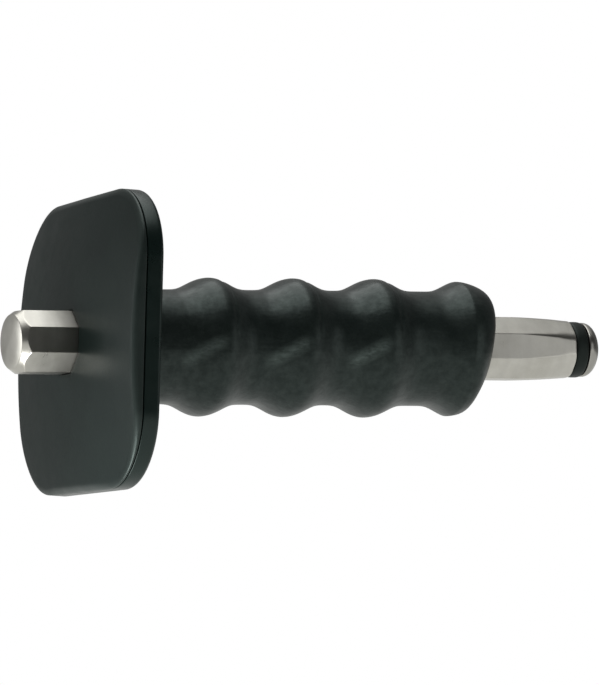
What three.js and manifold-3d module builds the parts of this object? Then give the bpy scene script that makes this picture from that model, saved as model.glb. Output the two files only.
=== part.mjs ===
// Hand-guarded post driver: an octagonal steel drive bar runs through a soft grip with four finger grooves,
// behind a square hand guard with rounded corners. A rubber ring sits in a groove behind the domed nose.
// Millimetres. +X runs from the striking face to the nose, +Z is up, and the origin is the centre of the
// striking face. Parts that touch on the real tool keep a small gap here.
import * as THREE from "three";
import { mergeVertices } from "three/addons/utils/BufferGeometryUtils.js";
import Module from "manifold-3d";

const wasm = await Module();
wasm.setup();

// ---- Driving dimensions ----
const GAP = 0.3; // between neighbouring pieces
const ROUND_SEGMENTS = 64; // sides of a turned surface

// Drive bar
const BAR_FLATS = 16; // across the flats of the octagon
const BAR_LENGTH = 165.3;
const STRIKING_FLAT_R = 5.6; // flat middle of the striking face
const STRIKING_EDGE_R = 7.1; // the face's rim, after a rounding
const STRIKING_EDGE_X = 0.55; // how far the face falls back to its rim
const STRIKING_CHAMFER_X = 4; // where the chamfer has left the octagon's corners
const TAPER_START_X = 141; // the octagon tapers from here towards the nose
const SHOULDER_X = 157.2; // end of the taper, and start of the nose groove
const SHOULDER_FLATS = 14.7; // across the flats at the end of the taper
const SHOULDER_R = 7.65; // rounding of the octagon's corners there
const NOSE_X = 161.2; // end of the nose groove
const NOSE_R = 7;
const NOSE_COLLAR = 0.5; // straight stretch before the dome
const NOSE_GROOVE_R = 5.5;
const NOSE_RING_CROWN = 0.25; // how far the rubber ring stands out of its groove
const NOSE_RING_EDGE = 0.7; // rounding of its outer edges
const OUTSIDE_R = 9.4; // any radius outside the octagon

// Snap rings that hold the grip core on the bar
const SNAP_RING_R = 9.4;
const SNAP_RING_GROOVE_R = 7;
const SNAP_RING_THICKNESS = 1;
const SNAP_RING_OPENING = THREE.MathUtils.degToRad(26);

// Hand guard: a soft domed facing on a stiff flat plate, leaning back a little at the top
const GUARD_SIZE = 76.2; // side of the square
const GUARD_CORNER_R = 19;
const GUARD_TAPER = 0.03; // the -Y side is this share taller than the middle, and the +Y side shorter
const GUARD_SEAM_X = 21.7; // where facing and plate meet, on the bar's axis
const GUARD_LEAN = THREE.MathUtils.degToRad(3);
const GUARD_DROP = 0.5; // how far the guard's middle lies below the bar's
const FACING_THICKNESS = 6.05; // at the middle of the dome
const FACING_SAG_SIDE = 2.8; // how far the dome falls back to the left and right edges
const FACING_SAG_TOP = 4; // and to the top and bottom edges
const FACING_EDGE_R = 2.4; // rounding of the front edge
const FACING_SKIN = 1.5; // left in front of the snap ring
const PLATE_THICKNESS = 4.85;
const PLATE_EDGE_R = 1.5; // rounding of the rear edge

// Grip core: a stiff tube with an octagonal bore and a flange that carries the guard
const CORE_R = 11;
const CORE_RIB_HEIGHT = 0.8;
const CORE_RIBS = 8;
const CORE_FRONT_X = 18.45;
const COLLAR_R = 9.7; // the core's front end, inside the guard facing
const COLLAR_END_X = 20.1;
const CORE_REAR_X = 127;
const FLANGE_R = 17;
const FLANGE_THICKNESS = 2.2;
const RIB_SETBACK = 3; // from the cover's front and the core's rear end to the ribs

// Grip cover: a soft oval tube whose finger ridges lean like the guard, and whose rear end leans more
const COVER_START_X = GUARD_SEAM_X + PLATE_THICKNESS + GAP;
const COVER_END_X = 131.9;
const COVER_END_ROUND = 7.4; // radius of the rounded rim
const RIDGES_X = [54.4, 78.2, 101.1, 127];
const RIDGE_R = 17.9; // half height of the section at a ridge
const VALLEY_R = 14.8; // and in a finger groove
const COVER_DROP_START = 0.8; // how far the cover's middle lies below the bar's, at the guard
const COVER_DROP_END = 0.2; // and at the rear end
const SECTION_WIDTH = 0.94; // width over height
const SECTION_POWER = 2.25; // 2 is an ellipse, and more is squarer
const RIDGE_SHARPNESS = 1.6;
const COVER_END_LEAN = THREE.MathUtils.degToRad(11);
const COVER_MOUTH_R = 10; // hole in the rear face
const COVER_STEP = 2.35; // between sections

// ---- Materials ----
const plating = new THREE.MeshStandardMaterial({ color: 0xb4b4aa, roughness: 0.25, metalness: 1 });
const ringSteel = new THREE.MeshStandardMaterial({ color: 0x2a2b2b, roughness: 0.45, metalness: 1 });
const blackRubber = new THREE.MeshStandardMaterial({ color: 0x1c1e1e, roughness: 0.6, metalness: 0 });
const softGrip = new THREE.MeshStandardMaterial({ color: 0x262a29, roughness: 0.55, metalness: 0 });
const softFacing = new THREE.MeshStandardMaterial({ color: 0x2b302f, roughness: 0.5, metalness: 0 });
const stiffPlastic = new THREE.MeshStandardMaterial({ color: 0x202423, roughness: 0.5, metalness: 0 });

// ---- Helpers ----
// A closed geometry as a solid that can be cut and joined.
function solid(geometry) {
  const bare = geometry.clone();
  bare.deleteAttribute("normal");
  bare.deleteAttribute("uv");
  const merged = mergeVertices(bare, 1e-4);
  return new wasm.Manifold(
    new wasm.Mesh({
      numProp: 3,
      vertProperties: new Float32Array(merged.attributes.position.array),
      triVerts: new Uint32Array(merged.index.array),
    }),
  );
}

// A solid as a geometry again.
function geometryOf(body) {
  const mesh = body.getMesh();
  const geometry = new THREE.BufferGeometry();
  geometry.setAttribute("position", new THREE.BufferAttribute(mesh.vertProperties, 3));
  geometry.setIndex(new THREE.BufferAttribute(mesh.triVerts, 1));
  geometry.computeVertexNormals();
  return geometry;
}

// A solid of revolution about the X axis, from [x, radius] points that start and end on the axis.
function turned(profile, segments = ROUND_SEGMENTS) {
  const points = profile.map(([x, radius]) => new THREE.Vector2(radius, x));
  return new THREE.LatheGeometry(points, segments).rotateZ(-Math.PI / 2);
}

// A cylinder about the X axis.
function cylinder(fromX, toX, radius) {
  return turned([[fromX, 0], [fromX, radius], [toX, radius], [toX, 0]]);
}

// A flat outline in the YZ plane, extruded along X, with its two edges rounded if asked.
function extruded(shape, fromX, toX, edgeR = 0) {
  const settings = {
    depth: toX - fromX - 2 * edgeR,
    bevelEnabled: edgeR > 0,
    bevelThickness: edgeR,
    bevelSize: edgeR,
    bevelOffset: -edgeR,
    bevelSegments: 4,
    curveSegments: 40,
  };
  const yAxis = new THREE.Vector3(0, 1, 0);
  const zAxis = new THREE.Vector3(0, 0, 1);
  const xAxis = new THREE.Vector3(1, 0, 0);
  return new THREE.ExtrudeGeometry(shape, settings)
    .applyMatrix4(new THREE.Matrix4().makeBasis(yAxis, zAxis, xAxis))
    .translate(fromX + edgeR, 0, 0);
}

// The corners of a regular octagon with flats at the top, bottom and sides.
function octagonCorners(acrossFlats) {
  const radius = acrossFlats / 2 / Math.cos(Math.PI / 8);
  return Array.from({ length: 8 }, (_, k) => {
    const angle = Math.PI / 8 + (k * Math.PI) / 4;
    return new THREE.Vector2(radius * Math.cos(angle), radius * Math.sin(angle));
  });
}

function octagon(acrossFlats) {
  return new THREE.Shape(octagonCorners(acrossFlats));
}

// Points round the guard's edge, moved inwards by an inset: a square with rounded corners that is a
// little taller on its -Y side.
function guardPoints(inset = 0) {
  const half = GUARD_SIZE / 2;
  const inner = half - GUARD_CORNER_R;
  const reach = GUARD_CORNER_R - inset;
  const cornerSteps = 12;
  const sideSteps = 4;
  const points = [];
  for (let corner = 0; corner < 4; corner++) {
    const turn = (corner * Math.PI) / 2;
    const spin = (y, z) => {
      const across = y * Math.cos(turn) - z * Math.sin(turn);
      const upright = y * Math.sin(turn) + z * Math.cos(turn);
      return new THREE.Vector2(across, upright * (1 - (GUARD_TAPER * across) / half));
    };
    for (let k = 1; k < sideSteps; k++) {
      points.push(spin(inner + reach, -inner + (2 * inner * k) / sideSteps));
    }
    for (let k = 0; k <= cornerSteps; k++) {
      const angle = ((k / cornerSteps) * Math.PI) / 2;
      points.push(spin(inner + reach * Math.cos(angle), inner + reach * Math.sin(angle)));
    }
  }
  return points;
}

// A closed body through rings of points, each ring listed from its first point, with a fan at both ends.
function lofted(rings) {
  const size = rings[0].length;
  const centre = (ring) => {
    const sum = ring.reduce((total, at) => total.add(at), new THREE.Vector3());
    return sum.divideScalar(size);
  };
  const points = [...rings.flat(), centre(rings[0]), centre(rings.at(-1))];
  const first = rings.length * size;
  const faces = [];
  for (let k = 0; k < size; k++) {
    const next = (k + 1) % size;
    faces.push(first, next, k);
    for (let row = 0; row < rings.length - 1; row++) {
      const near = row * size;
      const far = near + size;
      faces.push(near + k, near + next, far + next, near + k, far + next, far + k);
    }
    faces.push(first + 1, first - size + k, first - size + next);
  }
  const geometry = new THREE.BufferGeometry().setFromPoints(points);
  geometry.setIndex(faces);
  return geometry;
}

function part(name, geometry, material) {
  const mesh = new THREE.Mesh(geometry, material);
  mesh.name = name;
  return mesh;
}

// ---- Drive bar ----
const frontSnapRingX = CORE_FRONT_X - GAP - SNAP_RING_THICKNESS;
const rearSnapRingX = CORE_REAR_X + GAP;

// Points of a ring groove that is a little wider than the snap ring in it.
function snapRingGroove(ringX) {
  const from = ringX - GAP;
  const to = ringX + SNAP_RING_THICKNESS + GAP;
  return [[from, OUTSIDE_R], [from, SNAP_RING_GROOVE_R], [to, SNAP_RING_GROOVE_R], [to, OUTSIDE_R]];
}

// The striking face: a flat middle that rounds off to the rim.
function strikingFace() {
  const steps = 4;
  const rounding = Array.from({ length: steps + 1 }, (_, k) => {
    const share = k / steps;
    return [STRIKING_EDGE_X * share ** 2, THREE.MathUtils.lerp(STRIKING_FLAT_R, STRIKING_EDGE_R, share)];
  });
  return [[0, 0], ...rounding];
}

// The nose's dome, a quarter ellipse from its rim to the tip.
function noseDome() {
  const rimX = NOSE_X + NOSE_COLLAR;
  const steps = 8;
  return Array.from({ length: steps + 1 }, (_, k) => {
    const angle = (k / steps) * (Math.PI / 2);
    const radius = k === steps ? 0 : NOSE_R * Math.cos(angle);
    return [rimX + (BAR_LENGTH - rimX) * Math.sin(angle), radius];
  });
}

// Octagonal stock whose flats curve in towards the nose.
function taperedStock() {
  const steps = 5;
  const ringAt = (x, flats) => octagonCorners(flats).map((at) => new THREE.Vector3(x, at.x, at.y));
  const taper = Array.from({ length: steps }, (_, k) => {
    const share = (k + 1) / steps;
    const x = THREE.MathUtils.lerp(TAPER_START_X, SHOULDER_X, share);
    return ringAt(x, THREE.MathUtils.lerp(BAR_FLATS, SHOULDER_FLATS, share ** 1.5));
  });
  const end = ringAt(BAR_LENGTH + 1, SHOULDER_FLATS);
  return lofted([ringAt(-1, BAR_FLATS), ringAt(TAPER_START_X, BAR_FLATS), ...taper, end]);
}

function driveBar() {
  const envelope = turned([
    ...strikingFace(),
    [STRIKING_CHAMFER_X, OUTSIDE_R],
    ...snapRingGroove(frontSnapRingX),
    ...snapRingGroove(rearSnapRingX),
    [TAPER_START_X, OUTSIDE_R],
    [SHOULDER_X, SHOULDER_R],
    [SHOULDER_X, NOSE_GROOVE_R],
    [NOSE_X, NOSE_GROOVE_R],
    [NOSE_X, NOSE_R],
    ...noseDome(),
  ]);
  return geometryOf(solid(taperedStock()).intersect(solid(envelope)));
}

// The rubber ring's section, rounded on the outside.
function noseRing() {
  const from = SHOULDER_X + GAP;
  const to = NOSE_X - GAP;
  const inner = NOSE_GROOVE_R + GAP;
  const outer = NOSE_R + NOSE_RING_CROWN;
  const edge = NOSE_RING_EDGE;
  const steps = 4;
  const rounding = Array.from({ length: steps + 1 }, (_, k) => {
    const angle = ((k / steps) * Math.PI) / 2;
    return [edge * (1 - Math.cos(angle)), outer - edge * (1 - Math.sin(angle))];
  });
  const left = rounding.map(([inset, radius]) => [from + inset, radius]);
  const right = rounding.map(([inset, radius]) => [to - inset, radius]).reverse();
  return turned([[from, inner], ...left, ...right, [to, inner], [from, inner]]);
}

// An open ring that snaps into a groove of the bar.
function snapRing(atX) {
  const inner = SNAP_RING_GROOVE_R + GAP;
  const from = SNAP_RING_OPENING / 2;
  const to = 2 * Math.PI - from;
  const shape = new THREE.Shape();
  shape.absarc(0, 0, SNAP_RING_R, from, to, false);
  shape.absarc(0, 0, inner, to, from, true);
  return extruded(shape, atX, atX + SNAP_RING_THICKNESS);
}

// ---- Hand guard, in its own leaning frame: X = 0 is the seam ----
const guard = new THREE.Group();
guard.position.set(GUARD_SEAM_X, 0, -GUARD_DROP);
guard.rotation.y = GUARD_LEAN;
guard.updateMatrix();

// Brings a geometry that lies along the bar into the guard's frame.
function fromBar(geometry) {
  return geometry.applyMatrix4(guard.matrix.clone().invert());
}

// How far the facing's front stands from the seam at a place on it: most in the middle.
function frontAt(at) {
  const half = GUARD_SIZE / 2;
  const sag = FACING_SAG_SIDE * (at.x / half) ** 2 + FACING_SAG_TOP * (at.y / half) ** 2;
  return FACING_THICKNESS - sag;
}

// The facing without its holes: a shallow dome whose edge is rounded over to an upright rim.
function facingBlank() {
  const toRing = (flat, heights) => flat.map((at, k) => new THREE.Vector3(-heights[k], at.x, at.y));
  const domeSteps = 7;
  const edgeSteps = 5;
  const rings = [];
  for (let k = 1; k < domeSteps; k++) {
    const flat = guardPoints(FACING_EDGE_R).map((at) => at.multiplyScalar(k / domeSteps));
    rings.push(toRing(flat, flat.map(frontAt)));
  }
  for (let k = 0; k <= edgeSteps; k++) {
    const angle = ((k / edgeSteps) * Math.PI) / 2;
    const flat = guardPoints(FACING_EDGE_R * (1 - Math.sin(angle)));
    const share = 1 - Math.cos(angle);
    const heights = flat.map((at) => {
      const front = frontAt(at);
      return front - share * Math.min(FACING_EDGE_R, front / 2);
    });
    rings.push(toRing(flat, heights));
  }
  const outline = guardPoints();
  rings.push(toRing(outline, outline.map(() => GAP / 2)));
  return lofted(rings);
}

function guardFacing() {
  const flangeSeat = cylinder(-FLANGE_THICKNESS - 2 * GAP, 1, FLANGE_R + GAP);
  const skinX = GUARD_SEAM_X - FACING_THICKNESS + FACING_SKIN;
  const ringPocket = fromBar(cylinder(skinX, GUARD_SEAM_X + 1, COLLAR_R + GAP));
  const hole = fromBar(extruded(octagon(BAR_FLATS + 2 * GAP), 0, GUARD_SEAM_X + 1));
  return geometryOf(
    solid(facingBlank())
      .subtract(solid(flangeSeat))
      .subtract(solid(ringPocket))
      .subtract(solid(hole)),
  );
}

function guardPlate() {
  const hole = fromBar(cylinder(0, 2 * GUARD_SEAM_X, CORE_R + GAP));
  const front = cylinder(-GUARD_SIZE, GAP / 2, GUARD_SIZE);
  const outline = new THREE.Shape(guardPoints());
  const rounded = extruded(outline, -PLATE_THICKNESS, PLATE_THICKNESS, PLATE_EDGE_R);
  return geometryOf(solid(rounded).subtract(solid(front)).subtract(solid(hole)));
}

// ---- Grip core ----
// The outline of the ribbed tube: a circle with ribs that keep the soft cover from turning.
function ribbedCircle() {
  const steps = 8 * CORE_RIBS;
  const points = Array.from({ length: steps }, (_, k) => {
    const onRib = k % 8 === 0 || k % 8 === 1;
    const radius = CORE_R + (onRib ? CORE_RIB_HEIGHT : 0);
    const angle = (2 * Math.PI * k) / steps;
    return new THREE.Vector2(radius * Math.cos(angle), radius * Math.sin(angle));
  });
  return new THREE.Shape(points);
}

function gripCore() {
  const tube = turned([
    [CORE_FRONT_X, 0],
    [CORE_FRONT_X, COLLAR_R],
    [COLLAR_END_X, COLLAR_R],
    [COLLAR_END_X, CORE_R],
    [CORE_REAR_X, CORE_R],
    [CORE_REAR_X, 0],
  ]);
  const ribs = extruded(ribbedCircle(), COVER_START_X + RIB_SETBACK, CORE_REAR_X - RIB_SETBACK);
  const flange = cylinder(-FLANGE_THICKNESS - GAP, -GAP, FLANGE_R).applyMatrix4(guard.matrix);
  const bore = extruded(octagon(BAR_FLATS + 2 * GAP), 0, BAR_LENGTH);
  return geometryOf(solid(tube).add(solid(ribs)).add(solid(flange)).subtract(solid(bore)));
}

// ---- Grip cover ----
// Half height of the cover at a place along it: valleys with a rounded ridge between fingers.
function coverRadius(x) {
  const pitch = RIDGES_X[1] - RIDGES_X[0];
  const nearest = Math.min(...RIDGES_X.map((ridge) => Math.abs(x - ridge)));
  const phase = Math.min(nearest / pitch, 0.5);
  const rise = Math.pow((1 + Math.cos(2 * Math.PI * phase)) / 2, RIDGE_SHARPNESS);
  return VALLEY_R + (RIDGE_R - VALLEY_R) * rise;
}

// [x, radius] points along the cover, ending in a rounded rim.
function coverProfile() {
  const rimX = COVER_END_X - COVER_END_ROUND;
  const along = [];
  for (let x = COVER_START_X; x < rimX; x += COVER_STEP) along.push([x, coverRadius(x)]);
  const rimR = coverRadius(rimX) - COVER_END_ROUND;
  const rim = Array.from({ length: 6 }, (_, k) => {
    const angle = (k / 5) * (Math.PI / 2);
    return [rimX + COVER_END_ROUND * Math.sin(angle), rimR + COVER_END_ROUND * Math.cos(angle)];
  });
  return [[COVER_START_X, 0], ...along, ...rim, [COVER_END_X, 0]];
}

// How far the cover's sections lean: with the guard as far as the last ridge, and more at the end.
function leanAt(x) {
  const { smoothstep, lerp } = THREE.MathUtils;
  return lerp(GUARD_LEAN, COVER_END_LEAN, smoothstep(x, RIDGES_X[3] - 1, COVER_END_X));
}

// Turns round sections into leaning oval ones, a little below the bar's axis.
function ovalAndLeaning(geometry) {
  const at = geometry.attributes.position;
  const { mapLinear } = THREE.MathUtils;
  for (let i = 0; i < at.count; i++) {
    const radius = Math.hypot(at.getY(i), at.getZ(i));
    const angle = Math.atan2(at.getZ(i), at.getY(i));
    const across = Math.abs(Math.cos(angle) / SECTION_WIDTH) ** SECTION_POWER;
    const upright = Math.abs(Math.sin(angle)) ** SECTION_POWER;
    const stretched = radius / (across + upright) ** (1 / SECTION_POWER);
    const z = stretched * Math.sin(angle);
    const x = at.getX(i);
    const drop = mapLinear(x, COVER_START_X, COVER_END_X, COVER_DROP_START, COVER_DROP_END);
    at.setXYZ(i, x + z * Math.tan(leanAt(x)), stretched * Math.cos(angle), z - drop);
  }
  return geometry;
}

function gripCover() {
  const skin = ovalAndLeaning(turned(coverProfile(), 40));
  const room = CORE_R + CORE_RIB_HEIGHT + GAP;
  const bore = turned([
    [0, 0],
    [0, room],
    [CORE_REAR_X + GAP, room],
    [CORE_REAR_X + GAP, COVER_MOUTH_R],
    [BAR_LENGTH, COVER_MOUTH_R],
    [BAR_LENGTH, 0],
  ]);
  return geometryOf(solid(skin).subtract(solid(bore)));
}

// ---- Assembly ----
guard.add(part("guard_facing", guardFacing(), softFacing));
guard.add(part("guard_plate", guardPlate(), stiffPlastic));

const driver = new THREE.Group();
driver.add(part("drive_bar", driveBar(), plating));
driver.add(part("nose_ring", noseRing(), blackRubber));
driver.add(part("front_snap_ring", snapRing(frontSnapRingX), ringSteel));
driver.add(part("rear_snap_ring", snapRing(rearSnapRingX), ringSteel));
driver.add(part("grip_core", gripCore(), stiffPlastic));
driver.add(part("grip_cover", gripCover(), softGrip));
driver.add(guard);

export default driver;
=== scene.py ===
# Visual model of the hand-guarded post driver, in metres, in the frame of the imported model.
# +X runs along the bar from the striking face to the nose, and +Z is up.
import math

import bmesh
import bpy
import numpy as np
from mathutils import Matrix, Vector


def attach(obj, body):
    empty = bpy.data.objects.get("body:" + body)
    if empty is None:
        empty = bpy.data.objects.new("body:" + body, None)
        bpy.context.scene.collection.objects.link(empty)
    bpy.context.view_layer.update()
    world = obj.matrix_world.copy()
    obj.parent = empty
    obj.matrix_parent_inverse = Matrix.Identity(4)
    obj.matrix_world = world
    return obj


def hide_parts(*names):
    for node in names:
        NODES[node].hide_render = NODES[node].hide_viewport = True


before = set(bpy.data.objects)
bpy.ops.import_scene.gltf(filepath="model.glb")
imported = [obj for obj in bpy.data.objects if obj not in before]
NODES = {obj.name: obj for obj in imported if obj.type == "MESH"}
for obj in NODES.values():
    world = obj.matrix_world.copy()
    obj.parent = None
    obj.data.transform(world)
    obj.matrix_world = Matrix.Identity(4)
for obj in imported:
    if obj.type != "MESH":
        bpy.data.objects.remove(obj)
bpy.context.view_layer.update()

MM = 0.001

# ---- Shared dimensions, in millimetres ----
BAR_APOTHEM = 8.0
BAR_LENGTH = 165.3
BAR_EDGE_BLEND = 0.05  # rounding of the octagon's corners
TAPER_EDGE_BLEND = 1.4  # added to it by the end of the taper
TURNING_START_R = 9.4  # the turned taper starts here, outside the octagon's corners
FACE_RIM_R = 7.1
FACE_RIM_X = 0.55
CHAMFER_SLOPE = 0.66
TAPER_START_X = 141.0
SHOULDER_X = 157.2
SHOULDER_APOTHEM = 7.35
SHOULDER_R = 7.65
NOSE_X = 161.2
NOSE_DOME_X = 161.7
NOSE_R = 7.02
NOSE_GROOVE_R = 5.52
NOSE_RING_X = 159.2
NOSE_RING_R = 6.5  # to the middle of the ring's section
GUARD_HALF = 38.1
GUARD_CORNER_R = 19.0
GUARD_TAPER = 0.03  # how much taller the near edge is than the middle, as a share
GUARD_SEAM_X = 21.7
GUARD_LEAN = math.radians(3.0)
GUARD_DROP = 0.5
FACING_THICKNESS = 6.05
FACING_SAG_SIDE = 2.8
FACING_SAG_TOP = 4.0
FACING_EDGE_R = 2.0
FACING_EDGE_DEPTH = 1.5
PLATE_THICKNESS = 4.85
PLATE_EDGE_R = 1.3
SEAM_HALF = 0.155  # half of the gap between facing and plate
GUARD_HOLE_R = 8.3  # about the mean radius of the hole round the bar
GUARD_HOLE_GAP = 0.12  # between the bar and the hole
GUARD_POINTS = 768  # round the guard's outline
GRIP_RIDGES_X = (54.4, 78.2, 101.1, 127.0)
GRIP_RIDGE_R = 17.9
GRIP_VALLEY_R = 14.8
GRIP_SHARPNESS = 1.6
GRIP_START_X = 26.75
GRIP_END_X = 131.9
GRIP_END_ROUND = 7.4
GRIP_DROP_START = 0.8
GRIP_DROP_END = 0.2
GRIP_END_LEAN = math.radians(11.0)
GRIP_WIDTH = 0.94  # as a share of the height
GRIP_POWER = 2.25  # 2 would be an ellipse, and more is squarer
GRIP_MOUTH_R = 9.4
CREASE_SETBACK = 2.6  # from a ridge's crest back to its crease
CREASE_DEPTH = 0.2
GUARD_SHADE_START_X = (9.5, 16.5)  # the painted shade on the bar grows over this stretch, up to the guard
GUARD_SHADE_END_X = (30.0, 50.0)  # and fades over this one
DULL_NOSE_X = (160.6, 161.6)  # the steel turns duller over this stretch
# Painted highlight streaks on the grip's ridges: where they lie, how they fade and their colour.
STREAK_CENTRE = (-6.0, -2.9)  # x from the ridge, and z
STREAK_SLOPE = math.radians(28.0)
STREAK_HALF_LENGTH = 7.4
STREAK_HALF_WIDTH = 2.4
STREAK_Y = (-9.0, -6.0)  # the streaks fade out between these, away from the near side
PAINTED_GLINT_TONE = (0.085, 0.108, 0.1)


# ---- Mesh helpers ----
def smooth_step(low, high, value):
    t = np.clip((value - low) / (high - low), 0.0, 1.0)
    return t * t * (3.0 - 2.0 * t)


def smooth_min(a, b, blend):
    """The smaller of a and b, rounded off where they cross."""
    h = np.clip(0.5 + 0.5 * (b - a) / blend, 0.0, 1.0)
    return b * (1.0 - h) + a * h - blend * h * (1.0 - h)


def grid_mesh(name, points, weld=False):
    """A mesh from an array [row, column, xyz] in millimetres. Columns run round, and rows run along."""
    rows, columns = points.shape[:2]
    vertices = (points.reshape(-1, 3) * MM).tolist()
    faces = []
    for r in range(rows - 1):
        for c in range(columns):
            n = (c + 1) % columns
            a = r * columns
            b = a + columns
            faces.append((a + c, a + n, b + n, b + c))
    mesh = bpy.data.meshes.new(name)
    mesh.from_pydata(vertices, [], faces)
    mesh.update()
    edit = bmesh.new()
    edit.from_mesh(mesh)
    bmesh.ops.recalc_face_normals(edit, faces=edit.faces)
    if weld:
        bmesh.ops.remove_doubles(edit, verts=edit.verts, dist=1e-7)
        bmesh.ops.recalc_face_normals(edit, faces=edit.faces)
    edit.to_mesh(mesh)
    edit.free()
    return mesh


def add_piece(name, mesh, material, slot, *replaced):
    """Puts a mesh in the scene as a smooth-shaded piece that stands for CAD nodes."""
    piece = bpy.data.objects.new(name, mesh)
    bpy.context.scene.collection.objects.link(piece)
    mesh.materials.clear()
    mesh.materials.append(material)
    for polygon in mesh.polygons:
        polygon.use_smooth = True
    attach(piece, "root")
    if replaced:
        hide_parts(*replaced)


# ---- Materials ----
class Nodes:
    """A new material and short calls to wire its nodes."""

    def __init__(self, name):
        self.material = bpy.data.materials.new(name)
        self.material.use_nodes = True
        self.tree = self.material.node_tree
        self.tree.nodes.clear()
        self.output = self.add("ShaderNodeOutputMaterial")
        self.shader = self.add("ShaderNodeBsdfPrincipled")
        self.link(self.shader.outputs["BSDF"], self.output.inputs["Surface"])
        coordinates = self.add("ShaderNodeTexCoord")
        self.place = coordinates.outputs["Object"]
        self.normal = coordinates.outputs["Normal"]

    def add(self, kind, **settings):
        node = self.tree.nodes.new(kind)
        for key, value in settings.items():
            setattr(node, key, value)
        return node

    def link(self, source, target):
        self.tree.links.new(source, target)

    def stretched(self, scale):
        mapping = self.add("ShaderNodeMapping")
        mapping.inputs["Scale"].default_value = scale
        self.link(self.place, mapping.inputs["Vector"])
        return mapping.outputs["Vector"]

    def noise(self, vector, scale, detail=4.0, roughness=0.55):
        node = self.add("ShaderNodeTexNoise")
        node.inputs["Scale"].default_value = scale
        node.inputs["Detail"].default_value = detail
        node.inputs["Roughness"].default_value = roughness
        self.link(vector, node.inputs["Vector"])
        return node.outputs["Fac"]

    def cells(self, vector, scale):
        node = self.add("ShaderNodeTexVoronoi", feature="SMOOTH_F1")
        node.inputs["Scale"].default_value = scale
        self.link(vector, node.inputs["Vector"])
        return node.outputs["Distance"]

    def ramp(self, source, low, high, from_low=0.0, from_high=1.0):
        node = self.add("ShaderNodeMapRange")
        node.inputs["From Min"].default_value = from_low
        node.inputs["From Max"].default_value = from_high
        node.inputs["To Min"].default_value = low
        node.inputs["To Max"].default_value = high
        self.link(source, node.inputs["Value"])
        return node.outputs["Result"]

    def math(self, operation, a, b):
        node = self.add("ShaderNodeMath", operation=operation)
        for socket, value in zip(node.inputs, (a, b)):
            if isinstance(value, (int, float)):
                socket.default_value = value
            else:
                self.link(value, socket)
        return node.outputs["Value"]

    def mix(self, factor, dark, light):
        node = self.add("ShaderNodeMix", data_type="RGBA")
        self.link(factor, node.inputs[0])
        for socket, value in ((node.inputs[6], dark), (node.inputs[7], light)):
            if isinstance(value, tuple):
                socket.default_value = (*value, 1.0)
            else:
                self.link(value, socket)
        return node.outputs[2]

    def bump(self, height, distance, strength, normal=None):
        node = self.add("ShaderNodeBump")
        node.inputs["Strength"].default_value = strength
        node.inputs["Distance"].default_value = distance
        self.link(height, node.inputs["Height"])
        if normal is not None:
            self.link(normal, node.inputs["Normal"])
        return node.outputs["Normal"]

    def split(self, vector):
        node = self.add("ShaderNodeSeparateXYZ")
        self.link(vector, node.inputs["Vector"])
        return node.outputs

    def facing_along(self, low, high):
        """0 where the surface faces across the bar and 1 where it faces along it."""
        along = self.math("ABSOLUTE", self.split(self.normal)["X"], 0.0)
        return self.ramp(along, 0.0, 1.0, low, high)

    def set(self, **values):
        """Sets or links inputs of the shader; underscores stand for spaces."""
        for key, value in values.items():
            socket = self.shader.inputs[key.replace("_", " ")]
            if isinstance(value, tuple):
                socket.default_value = (*value, 1.0)
            elif isinstance(value, (int, float)):
                socket.default_value = value
            else:
                self.link(value, socket)


def plated_steel():
    """Bright plated steel: fine marks across the bar from grinding and turning, and faint handling haze."""
    n = Nodes("plated_steel")
    across = n.noise(n.stretched((2600.0, 120.0, 120.0)), 1.0, detail=5.0, roughness=0.65)
    broad = n.noise(n.stretched((420.0, 40.0, 40.0)), 1.0, detail=2.0)
    haze = n.noise(n.place, 130.0, detail=5.0, roughness=0.6)
    tone = n.mix(n.ramp(haze, 0.0, 1.0, 0.35, 0.7), (0.53, 0.52, 0.47), (0.66, 0.65, 0.60))
    tone = n.mix(n.ramp(broad, 0.0, 0.35, 0.3, 0.75), tone, (0.45, 0.44, 0.41))
    # Painted shade where the bar goes into the guard, made patchy by the haze. It fades out again inside
    # the grip.
    x = n.split(n.place)["X"]
    guard_shade = n.ramp(x, 0.0, 1.0, GUARD_SHADE_START_X[0] * MM, GUARD_SHADE_START_X[1] * MM)
    guard_shade = n.math("MULTIPLY", guard_shade, n.ramp(haze, 0.7, 1.0))
    guard_shade = n.math("MULTIPLY", guard_shade, n.ramp(x, 0.62, 0.0, GUARD_SHADE_END_X[0] * MM, GUARD_SHADE_END_X[1] * MM))
    tone = n.mix(guard_shade, tone, (0.12, 0.11, 0.10))
    # The turned nose is duller than the flats.
    dull = n.ramp(x, 0.0, 0.5, DULL_NOSE_X[0] * MM, DULL_NOSE_X[1] * MM)
    tone = n.mix(dull, tone, (0.2, 0.2, 0.19))
    n.set(Base_Color=tone, Metallic=1.0)
    n.set(Roughness=n.ramp(n.math("ADD", haze, across), 0.26, 0.34, 0.6, 1.4))
    # The ground flats spread light along the bar, and the turned ends spread it evenly.
    tangent = n.add("ShaderNodeTangent", direction_type="RADIAL", axis="X")
    stretch = n.ramp(n.facing_along(0.3, 0.75), 0.7, 0.0)
    n.set(Anisotropic=stretch, Anisotropic_Rotation=0.25, Tangent=tangent.outputs["Tangent"])
    n.set(Normal=n.bump(across, 0.00001, 0.12))
    return n.material


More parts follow.
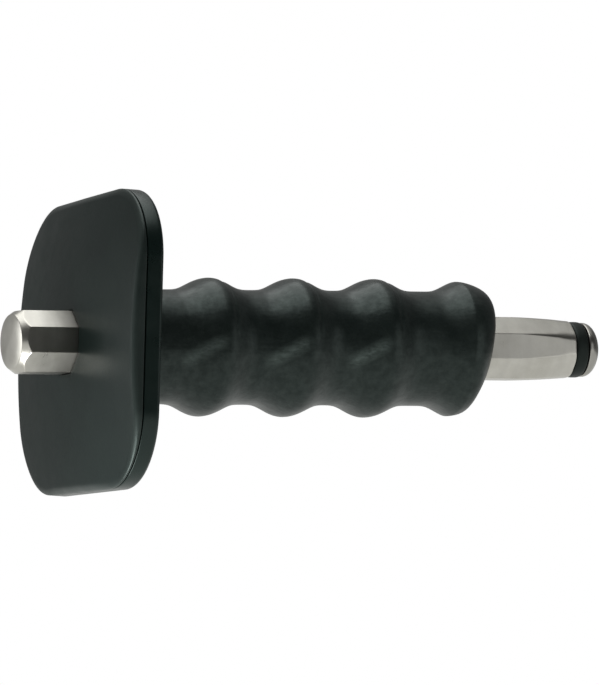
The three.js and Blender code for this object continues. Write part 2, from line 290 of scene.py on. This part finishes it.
def painted_glint_streak(n, ridge_x):
    """A mask of the slanting painted highlight streak on the near side of a ridge."""
    place = n.split(n.place)
    x = n.math("SUBTRACT", place["X"], (ridge_x + STREAK_CENTRE[0]) * MM)
    z = n.math("SUBTRACT", place["Z"], STREAK_CENTRE[1] * MM)
    c, s = math.cos(STREAK_SLOPE), math.sin(STREAK_SLOPE)
    along = n.math("ADD", n.math("MULTIPLY", x, c), n.math("MULTIPLY", z, s))
    across = n.math("SUBTRACT", n.math("MULTIPLY", z, c), n.math("MULTIPLY", x, s))
    along = n.math("ABSOLUTE", along, 0.0)
    across = n.math("ABSOLUTE", across, 0.0)
    ends = n.ramp(along, 1.0, 0.0, 0.5 * STREAK_HALF_LENGTH * MM, STREAK_HALF_LENGTH * MM)
    sides = n.ramp(across, 1.0, 0.0, 0.0, STREAK_HALF_WIDTH * MM)
    near = n.ramp(place["Y"], 1.0, 0.0, STREAK_Y[0] * MM, STREAK_Y[1] * MM)
    return n.math("MULTIPLY", n.math("MULTIPLY", ends, sides), near)


def with_painted_glints(n, tone):
    """The tone with a painted highlight streak on each of the first three ridges."""
    mask = 0.0
    for ridge_x in GRIP_RIDGES_X[:3]:
        mask = n.math("ADD", mask, painted_glint_streak(n, ridge_x))
    # Noise breaks up the painted highlight streaks.
    glint_breakup = n.noise(n.stretched((500.0, 900.0, 1600.0)), 1.0)
    mask = n.math("MULTIPLY", mask, n.ramp(glint_breakup, 0.45, 1.0, 0.35, 0.6))
    return n.mix(mask, tone, PAINTED_GLINT_TONE)


def grained_black(
    name,
    dark,
    light,
    rough,
    grain_scale,
    grain_depth,
    gloss=0.5,
    rim_gloss=None,
    wear_and_painted_glints=False,
    metallic=0.0,
):
    """Black plastic, rubber or oxide: a fine grain, slow colour drift and slightly polished patches.

    rim_gloss is the gloss where the surface faces across the bar. A surface with wear is blotched and
    wrinkled, and gets painted highlight streaks on its ridges too.
    """
    n = Nodes(name)
    drift = n.noise(n.place, 55.0, detail=3.0)
    fine = n.noise(n.place, grain_scale, detail=4.0, roughness=0.6)
    cells = n.cells(n.place, grain_scale * 0.8)
    wear = n.noise(n.place, 160.0, detail=5.0, roughness=0.62)
    tone = n.mix(n.ramp(drift, 0.0, 1.0, 0.35, 0.65), dark, light)
    tone = n.mix(n.ramp(fine, 0.0, 0.35, 0.45, 0.8), tone, tuple(1.6 * v for v in light))
    shine = gloss
    if rim_gloss is not None:
        shine = n.ramp(n.facing_along(0.8, 0.96), rim_gloss, gloss)
    normal = n.bump(n.math("ADD", fine, cells), grain_depth, 0.3)
    if wear_and_painted_glints:
        # Painted highlight streaks on the near side of the ridges, with real blotches and creases of wear
        # below.
        tone = with_painted_glints(n, tone)
        blotches = n.noise(n.place, 460.0, detail=4.0, roughness=0.65)
        shine = n.ramp(blotches, 0.78 * gloss, 1.25 * gloss, 0.35, 0.65)
        creases = n.noise(n.stretched((90.0, 700.0, 700.0)), 1.0, detail=4.0, roughness=0.6)
        normal = n.bump(creases, 0.0002, 0.3, normal)
    n.set(Base_Color=tone, Metallic=metallic)
    n.set(Specular_IOR_Level=shine, Specular_Tint=(0.82, 1.0, 0.94))
    n.set(Roughness=n.ramp(n.math("ADD", wear, drift), rough - 0.06, rough + 0.08, 0.7, 1.3))
    n.set(Normal=n.bump(wear, 0.00012, 0.16, normal))
    return n.material


STEEL = plated_steel()
GRIP = grained_black(
    "soft_grip",
    dark=(0.006, 0.0095, 0.0088),
    light=(0.0085, 0.0125, 0.0115),
    rough=0.33,
    grain_scale=1500.0,
    grain_depth=0.00003,
    gloss=0.46,
    wear_and_painted_glints=True,
)
FACING = grained_black(
    "soft_facing",
    dark=(0.006, 0.0105, 0.0098),
    light=(0.0095, 0.015, 0.0137),
    rough=0.38,
    grain_scale=1900.0,
    grain_depth=0.000025,
    gloss=0.14,
    rim_gloss=0.62,
)
PLATE = grained_black(
    "stiff_plastic",
    dark=(0.0015, 0.0065, 0.0055),
    light=(0.003, 0.0085, 0.0075),
    rough=0.28,
    grain_scale=2200.0,
    grain_depth=0.00002,
)
RUBBER = grained_black(
    "black_rubber",
    dark=(0.004, 0.006, 0.005),
    light=(0.007, 0.009, 0.008),
    rough=0.45,
    grain_scale=2600.0,
    grain_depth=0.00002,
    gloss=0.3,
)
OXIDE = grained_black(
    "black_oxide_steel",
    dark=(0.05, 0.05, 0.05),
    light=(0.09, 0.09, 0.09),
    rough=0.4,
    grain_scale=2400.0,
    grain_depth=0.00001,
    metallic=1.0,
)


# ---- Drive bar ----
def octagon_radius(angle, rounding=BAR_EDGE_BLEND):
    """Radius of the octagon at an angle, with its corners rounded."""
    folded = np.mod(angle + math.pi / 8, math.pi / 4) - math.pi / 8
    here = BAR_APOTHEM / np.cos(folded)
    neighbour = BAR_APOTHEM / np.cos(math.pi / 4 - np.abs(folded))
    return smooth_min(here, neighbour, rounding)


def bar_station(x, angles):
    """Radius of the bar at a station: a chamfered octagon that tapers and softens towards the nose."""
    share = min(max((x - TAPER_START_X) / (SHOULDER_X - TAPER_START_X), 0.0), 1.0)
    shrink = 1.0 + (SHOULDER_APOTHEM / BAR_APOTHEM - 1.0) * share**1.5
    chamfer = FACE_RIM_R + (x - FACE_RIM_X) * CHAMFER_SLOPE
    turned = TURNING_START_R + (SHOULDER_R - TURNING_START_R) * smooth_step(0.2, 1.0, share)
    envelope = min(chamfer, turned)
    flats = octagon_radius(angles, BAR_EDGE_BLEND + TAPER_EDGE_BLEND * share) * shrink
    return smooth_min(flats, np.full_like(angles, envelope), 0.12 + 0.35 * share)


def bar_rows():
    """Stations along the bar: (x, radius), or (x, None) where bar_station gives the radius."""
    rows = []
    for r in (0.0, 0.8, 1.6, 2.4, 3.2, 4.0, 4.8, 5.4, 5.9, 6.3, 6.6, 6.85, 7.0):
        rows.append((0.02 + FACE_RIM_X * (r / FACE_RIM_R) ** 3, r))
    rows.append((FACE_RIM_X + 0.02, FACE_RIM_R - 0.02))
    for x in np.linspace(FACE_RIM_X + 0.1, 4.2, 34):
        rows.append((float(x), None))
    for x in np.linspace(5.0, 140.0, 60):
        rows.append((float(x), None))
    for x in np.linspace(TAPER_START_X, SHOULDER_X - 0.35, 60):
        rows.append((float(x), None))
    return rows


def drive_bar():
    columns = 384
    angles = np.arange(columns) * 2 * math.pi / columns
    rows = []
    for x, radius in bar_rows():
        rows.append((x, bar_station(x, angles) if radius is None else np.full(columns, radius)))
    shoulder = bar_station(SHOULDER_X, angles)
    for back, inset in ((0.18, 0.02), (0.06, 0.08), (0.0, 0.2)):
        rows.append((SHOULDER_X - back, shoulder - inset))
    groove_corner_r = NOSE_GROOVE_R + 0.18
    nose = [
        (SHOULDER_X + 0.02, 6.9),
        (SHOULDER_X + 0.02, groove_corner_r),
        (SHOULDER_X + 0.1, NOSE_GROOVE_R),
        (NOSE_X - 0.1, NOSE_GROOVE_R),
        (NOSE_X - 0.02, groove_corner_r),
        (NOSE_X - 0.02, NOSE_R - 0.32),
        (NOSE_X + 0.01, NOSE_R - 0.14),
        (NOSE_X + 0.1, NOSE_R - 0.03),
        (NOSE_X + 0.3, NOSE_R),
    ]
    rows += [(x, np.full(columns, r)) for x, r in nose]
    steps = 20
    for k in range(1, steps + 1):
        a = k / steps * math.pi / 2
        dome_x = NOSE_DOME_X + (BAR_LENGTH - NOSE_DOME_X) * math.sin(a)
        rows.append((dome_x, np.full(columns, NOSE_R * max(math.cos(a), 0.0) ** 0.92)))
    points = np.zeros((len(rows), columns, 3))
    for i, (x, radius) in enumerate(rows):
        points[i, :, 0] = x
        points[i, :, 1] = radius * np.cos(angles)
        points[i, :, 2] = radius * np.sin(angles)
    mesh = grid_mesh("drive_bar_form", points, weld=True)
    add_piece("bar_steel", mesh, STEEL, "plated_steel", "drive_bar")


# ---- Nose ring ----
def nose_ring():
    columns, around = 192, 32
    angles = np.arange(columns) * 2 * math.pi / columns
    section = np.arange(around) * 2 * math.pi / around
    power = 0.62  # below 1, the section is a rounded rectangle
    half_x, half_r = 1.68, 0.72
    sx = NOSE_RING_X + half_x * np.sign(np.cos(section)) * np.abs(np.cos(section)) ** power
    sr = NOSE_RING_R + half_r * np.sign(np.sin(section)) * np.abs(np.sin(section)) ** power
    points = np.zeros((around + 1, columns, 3))
    for i in range(around + 1):
        k = i % around
        points[i, :, 0] = sx[k]
        points[i, :, 1] = sr[k] * np.cos(angles)
        points[i, :, 2] = sr[k] * np.sin(angles)
    mesh = grid_mesh("nose_ring_form", points, weld=True)
    add_piece("nose_ring_rubber", mesh, RUBBER, "black_rubber", "nose_ring")


# ---- Hand guard ----
def guard_outline():
    """The guard's outline in millimetres (y, z), anticlockwise and before the taper."""
    inner = GUARD_HALF - GUARD_CORNER_R
    per_side = GUARD_POINTS // 8
    points = []
    for k in range(4):
        turn = k * math.pi / 2
        c, s = math.cos(turn), math.sin(turn)
        side = [(GUARD_HALF, -inner + 2 * inner * i / per_side) for i in range(per_side)]
        arc = [
            (
                inner + GUARD_CORNER_R * math.cos(i / per_side * math.pi / 2),
                inner + GUARD_CORNER_R * math.sin(i / per_side * math.pi / 2),
            )
            for i in range(per_side)
        ]
        points += [(y * c - z * s, y * s + z * c) for y, z in side + arc]
    return np.array(points)


def inset_outline(outline, inset):
    """The outline moved inwards by inset, keeping its straight sides straight."""
    inner = GUARD_HALF - GUARD_CORNER_R
    core = np.clip(outline, -inner, inner)
    away = outline - core
    return core + away * (1.0 - inset / GUARD_CORNER_R)


def shrink_outline(outline, share):
    """The outline scaled towards the middle, turning round as it shrinks."""
    radius = np.hypot(outline[:, 0], outline[:, 1])
    circle = outline / radius[:, None] * GUARD_HALF
    roundness = (1.0 - share) ** 0.8
    return share * (outline * (1.0 - roundness) + circle * roundness)


def facing_front(y, z):
    """How far the facing's front lies behind the top of its dome."""
    ty, tz = y / GUARD_HALF, z / GUARD_HALF
    return -FACING_THICKNESS + FACING_SAG_SIDE * ty**2 + FACING_SAG_TOP * tz**2


def guard_to_frame(points):
    """Guard points, X from the seam, into the frame: tapered, leaning and lowered."""
    out = points.copy()
    out[..., 2] = points[..., 2] * (1.0 - GUARD_TAPER * points[..., 1] / GUARD_HALF)
    c, s = math.cos(GUARD_LEAN), math.sin(GUARD_LEAN)
    x, z = out[..., 0].copy(), out[..., 2].copy()
    out[..., 0] = x * c + z * s + GUARD_SEAM_X
    out[..., 2] = -x * s + z * c - GUARD_DROP
    return out


def ring_at(flat, x):
    """Guard points from an outline (y, z) and x, a number or one value for each point."""
    points = np.zeros((GUARD_POINTS, 3))
    points[:, 0] = x
    points[:, 1:] = flat
    return points


def guard_facing():
    outline = guard_outline()
    rows = []
    # Hole round the bar: an octagon, from the back of the skin to the front.
    angles = np.arctan2(outline[:, 1], outline[:, 0])
    radius = octagon_radius(angles) + GUARD_HOLE_GAP
    hole = radius[:, None] * np.c_[np.cos(angles), np.sin(angles)]
    front_at_hole = facing_front(hole[:, 0], hole[:, 1])
    tilt = math.tan(GUARD_LEAN)
    for depth, grow in ((3.0, 0.0), (1.2, 0.0), (0.4, 0.02), (0.18, 0.1), (0.05, 0.25), (0.0, 0.5)):
        x = front_at_hole + depth
        # The bar is square to the frame, so its hole slides with depth in the leaning, lowered guard.
        slide = np.c_[np.zeros(GUARD_POINTS), x * tilt + GUARD_DROP]
        rows.append(ring_at(hole * (1.0 + grow / GUARD_HOLE_R) + slide, x))
    start = rows[-1][:, 1:]
    for share in np.linspace(0.06, 1.0, 30)[:-1]:
        target = shrink_outline(inset_outline(outline, FACING_EDGE_R), 0.26 + 0.74 * share)
        blend = smooth_step(0.0, 0.35, share)
        flat = start * (1.0 - blend) * (1.0 + 1.6 * share) + target * blend
        rows.append(ring_at(flat, facing_front(flat[:, 0], flat[:, 1])))
    # Rounded front edge: from the dome over a generous radius to the rim.
    for k in range(15):
        a = k / 14 * math.pi / 2
        flat = inset_outline(outline, FACING_EDGE_R * (1.0 - math.sin(a)))
        front = facing_front(flat[:, 0], flat[:, 1])
        room = np.maximum(-front - 0.5, 0.35)
        depth = np.minimum(FACING_EDGE_DEPTH, room) * (1.0 - math.cos(a))
        rows.append(ring_at(flat, front + depth))
    # Rim down to the seam, with a small break at the edge.
    rim = rows[-1][:, 0]
    for t, inset in ((0.5, 0.0), (0.85, 0.0), (0.95, 0.06), (1.0, 0.22)):
        rows.append(ring_at(inset_outline(outline, inset), rim + (-0.16 - rim) * t))
    rows.append(ring_at(inset_outline(outline, 0.9), -SEAM_HALF))
    points = guard_to_frame(np.array(rows))
    mesh = grid_mesh("guard_facing_form", points)
    add_piece("guard_face", mesh, FACING, "soft_facing", "guard_facing")


def guard_plate():
    outline = guard_outline()
    rows = []
    for inset, x in ((1.0, 0.152), (0.3, SEAM_HALF), (0.1, 0.19), (0.02, 0.3), (0.0, 0.5)):
        rows.append(ring_at(inset_outline(outline, inset), x))
    for k in range(13):
        a = k / 12 * math.pi / 2
        inset = PLATE_EDGE_R * (1.0 - math.cos(a))
        x = PLATE_THICKNESS - PLATE_EDGE_R + PLATE_EDGE_R * math.sin(a)
        rows.append(ring_at(inset_outline(outline, inset), x))
    # The flat back, in to the grip.
    for share in np.linspace(1.0, 0.0, 16):
        flat = shrink_outline(inset_outline(outline, 2.0), 0.34 + 0.66 * share)
        rows.append(ring_at(flat, PLATE_THICKNESS))
    points = guard_to_frame(np.array(rows))
    mesh = grid_mesh("guard_plate_form", points)
    add_piece("guard_back", mesh, PLATE, "stiff_plastic", "guard_plate")


# ---- Grip ----
def grip_half_height(x):
    """Half height of the grip at stations x: finger grooves between rounded ridges."""
    ridges = np.array(GRIP_RIDGES_X)
    pitch = ridges[1] - ridges[0]
    nearest = np.abs(x[..., None] - ridges).min(-1)
    phase = np.clip(nearest / pitch, 0.0, 0.5)
    rise = ((1.0 + np.cos(2 * math.pi * phase)) / 2) ** GRIP_SHARPNESS
    return GRIP_VALLEY_R + (GRIP_RIDGE_R - GRIP_VALLEY_R) * rise


def ridge_crease(x, upness):
    """Depth of the shallow crease behind each ridge's crest, which fades out below the middle."""
    creases = np.array(GRIP_RIDGES_X[:3]) + CREASE_SETBACK
    nearest = np.abs(x - creases).min()
    return CREASE_DEPTH * math.exp(-((nearest / 0.6) ** 2)) * smooth_step(0.0, 0.5, upness)


def grip_cover():
    columns = 320
    angles = np.arange(columns) * 2 * math.pi / columns
    rim_x = GRIP_END_X - GRIP_END_ROUND
    stations = np.concatenate([
        np.linspace(GRIP_START_X, 30.0, 6)[:-1],
        np.linspace(30.0, rim_x, 360),
    ])
    profile = [(x, r) for x, r in zip(stations, grip_half_height(stations))]
    rim_r = profile[-1][1] - GRIP_END_ROUND
    for k in range(1, 25):
        a = k / 24 * math.pi / 2
        profile.append((rim_x + GRIP_END_ROUND * math.sin(a), rim_r + GRIP_END_ROUND * math.cos(a)))
    for back, out in ((0.05, 0.7), (0.3, 0.35), (0.8, 0.05), (2.5, 0.0)):
        profile.append((GRIP_END_X - back, GRIP_MOUTH_R + out))
    points = np.zeros((len(profile), columns, 3))
    cos, sin = np.cos(angles), np.sin(angles)
    squareness = np.abs(cos / GRIP_WIDTH) ** GRIP_POWER + np.abs(sin) ** GRIP_POWER
    squareness = squareness ** (-1 / GRIP_POWER)
    for i, (x, r) in enumerate(profile):
        # The section is oval outside and turns round towards the mouth.
        fade = min(max((r - GRIP_MOUTH_R) / 1.5, 0.0), 1.0)
        stretched = (r - ridge_crease(x, sin)) * (squareness * fade + (1.0 - fade))
        z = stretched * sin
        share = smooth_step(GRIP_RIDGES_X[3] - 1.0, GRIP_END_X, x)
        lean = GUARD_LEAN + (GRIP_END_LEAN - GUARD_LEAN) * share
        along = (x - GRIP_START_X) / (GRIP_END_X - GRIP_START_X)
        drop = GRIP_DROP_START + (GRIP_DROP_END - GRIP_DROP_START) * along
        points[i, :, 0] = x + z * math.tan(lean)
        points[i, :, 1] = stretched * cos
        points[i, :, 2] = z - drop * fade
    mesh = grid_mesh("grip_cover_form", points)
    add_piece("grip_skin", mesh, GRIP, "soft_grip", "grip_cover")


drive_bar()
nose_ring()
guard_facing()
guard_plate()
grip_cover()

for node, material in (
    ("grip_core", PLATE),
    ("front_snap_ring", OXIDE),
    ("rear_snap_ring", OXIDE),
):
    NODES[node].data.materials.clear()
    NODES[node].data.materials.append(material)

# ---- Floor, light and camera ----
CENTRE = Vector((0.0825, 0.0, 0.0))
VIEW_AZIMUTH = math.radians(-24.0)
VIEW_ELEVATION = math.radians(-4.5)
VIEW_ROLL = math.radians(-1.2)
VIEW_DISTANCE = 6.0
VIEW_HEIGHT = 0.177025  # height of the picture at the object's middle
VIEW_SHIFT = (-0.0043796, 0.0051095)  # of the picture, as shares of its height
SENSOR_WIDTH = 36.0
STUDIO_LEVEL = 0.32
OVERHEAD_LEVEL = 0.48
CAMERA_SIDE_DARKNESS = 0.84
NOSE_SIDE_DARKNESS = 0.6
FLOOR_Z = -4.5
FLOOR_HALF = 60.0

floor_mesh = bpy.data.meshes.new("floor_form")
floor_corners = [(-1, -1), (1, -1), (1, 1), (-1, 1)]
floor_mesh.from_pydata(
    [(FLOOR_HALF * x, FLOOR_HALF * y, FLOOR_Z) for x, y in floor_corners], [], [(0, 1, 2, 3)]
)
floor = bpy.data.objects.new("floor", floor_mesh)
bpy.context.scene.collection.objects.link(floor)
floor_nodes = Nodes("pale_floor")
floor_tone = floor_nodes.noise(floor_nodes.place, 3.0)
floor_nodes.set(
    Base_Color=floor_nodes.mix(floor_tone, (0.84, 0.84, 0.83), (0.88, 0.88, 0.87)),
    Roughness=0.7,
    Emission_Color=(1.0, 1.0, 0.98),
    Emission_Strength=0.48,
)
floor_mesh.materials.append(floor_nodes.material)

world = bpy.data.worlds.new("studio")
bpy.context.scene.world = world
world.use_nodes = True
tree = world.node_tree
tree.nodes.clear()


def world_node(kind, **settings):
    node = tree.nodes.new(kind)
    for key, value in settings.items():
        setattr(node, key, value)
    return node


def world_math(operation, a, b):
    node = world_node("ShaderNodeMath", operation=operation)
    for socket, value in zip(node.inputs, (a, b)):
        if isinstance(value, (int, float)):
            socket.default_value = value
        else:
            tree.links.new(value, socket)
    return node.outputs["Value"]


def world_step(source, low, high):
    """0 below low, 1 above high and smooth between."""
    node = world_node("ShaderNodeMapRange", interpolation_type="SMOOTHSTEP")
    node.inputs["From Min"].default_value = low
    node.inputs["From Max"].default_value = high
    tree.links.new(source, node.inputs["Value"])
    return node.outputs["Result"]


# The studio is light grey. It is dark on the camera's side, up to well above the horizon, and dimmer
# towards the nose.
direction = world_node("ShaderNodeTexCoord").outputs["Generated"]
split = world_node("ShaderNodeSeparateXYZ")
tree.links.new(direction, split.inputs["Vector"])
camera_side = world_step(world_math("MULTIPLY", split.outputs["Y"], -1.0), 0.0, 0.5)
above = world_math("SUBTRACT", 1.0, world_step(split.outputs["Z"], 0.7, 0.97))
dark = world_math("MULTIPLY", camera_side, above)
overhead = world_step(split.outputs["Z"], 0.5, 0.95)
overhead_rise = world_math("MULTIPLY", overhead, OVERHEAD_LEVEL - STUDIO_LEVEL)
level = world_math("ADD", STUDIO_LEVEL, overhead_rise)
camera_side_loss = world_math("MULTIPLY", dark, CAMERA_SIDE_DARKNESS)
level = world_math("MULTIPLY", level, world_math("SUBTRACT", 1.0, camera_side_loss))
nose_side = world_step(split.outputs["X"], 0.45, 0.8)
nose_side_loss = world_math("MULTIPLY", nose_side, NOSE_SIDE_DARKNESS)
level = world_math("MULTIPLY", level, world_math("SUBTRACT", 1.0, nose_side_loss))
studio = world_node("ShaderNodeBackground")
studio.inputs["Color"].default_value = (1.0, 1.0, 0.985, 1.0)
tree.links.new(level, studio.inputs["Strength"])
backdrop = world_node("ShaderNodeBackground")
backdrop.inputs["Color"].default_value = (1.0, 1.0, 1.0, 1.0)
backdrop.inputs["Strength"].default_value = 1.0
mix = world_node("ShaderNodeMixShader")
tree.links.new(world_node("ShaderNodeLightPath").outputs["Is Camera Ray"], mix.inputs[0])
tree.links.new(studio.outputs["Background"], mix.inputs[1])
tree.links.new(backdrop.outputs["Background"], mix.inputs[2])
world_output = world_node("ShaderNodeOutputWorld")
tree.links.new(mix.outputs["Shader"], world_output.inputs["Surface"])


def softbox(name, place, target, size, radiance):
    """A rectangular light of an even radiance, aimed at a point."""
    light = bpy.data.lights.new(name, "AREA")
    light.shape = "RECTANGLE"
    light.size, light.size_y = size
    light.energy = radiance * math.pi * size[0] * size[1]
    lamp = bpy.data.objects.new(name, light)
    bpy.context.scene.collection.objects.link(lamp)
    lamp.location = place
    lamp.rotation_mode = "QUATERNION"
    lamp.rotation_quaternion = (Vector(target) - Vector(place)).to_track_quat("-Z", "Y")
    lamp.visible_camera = False


softbox("overhead_softbox", (0.0, 0.02, 0.42), (0.0, 0.02, 0.0), (0.46, 0.6), 1.45)
softbox("left_softbox", (-0.44, 0.265, 0.03), (0.0, 0.0, 0.0), (0.29, 0.24), 2.5)
softbox("under_softbox", (-0.02, -0.03, -0.06), (0.0, -0.008, 0.0), (0.04, 0.05), 6.0)
softbox("right_card", (0.215, -0.12, 0.016), (0.15, 0.0, 0.0), (0.085, 0.075), 0.62)

scene = bpy.context.scene
scene.view_settings.view_transform = "Standard"
camera_data = bpy.data.cameras.new("camera")
camera = bpy.data.objects.new("camera", camera_data)
scene.collection.objects.link(camera)
scene.camera = camera
back = Vector((
    math.sin(VIEW_AZIMUTH) * math.cos(VIEW_ELEVATION),
    -math.cos(VIEW_AZIMUTH) * math.cos(VIEW_ELEVATION),
    math.sin(VIEW_ELEVATION),
))
# The sensor width belongs to the picture's long side, its height.
camera_data.sensor_width = SENSOR_WIDTH
camera_data.lens = SENSOR_WIDTH * VIEW_DISTANCE / VIEW_HEIGHT
camera_data.shift_x, camera_data.shift_y = VIEW_SHIFT
camera_data.clip_start = 0.1
camera_data.clip_end = 200.0
camera.location = CENTRE + back * VIEW_DISTANCE
camera.rotation_mode = "QUATERNION"
aim = (-back).to_track_quat("-Z", "Y")
camera.rotation_quaternion = aim @ Matrix.Rotation(VIEW_ROLL, 4, "Z").to_quaternion()
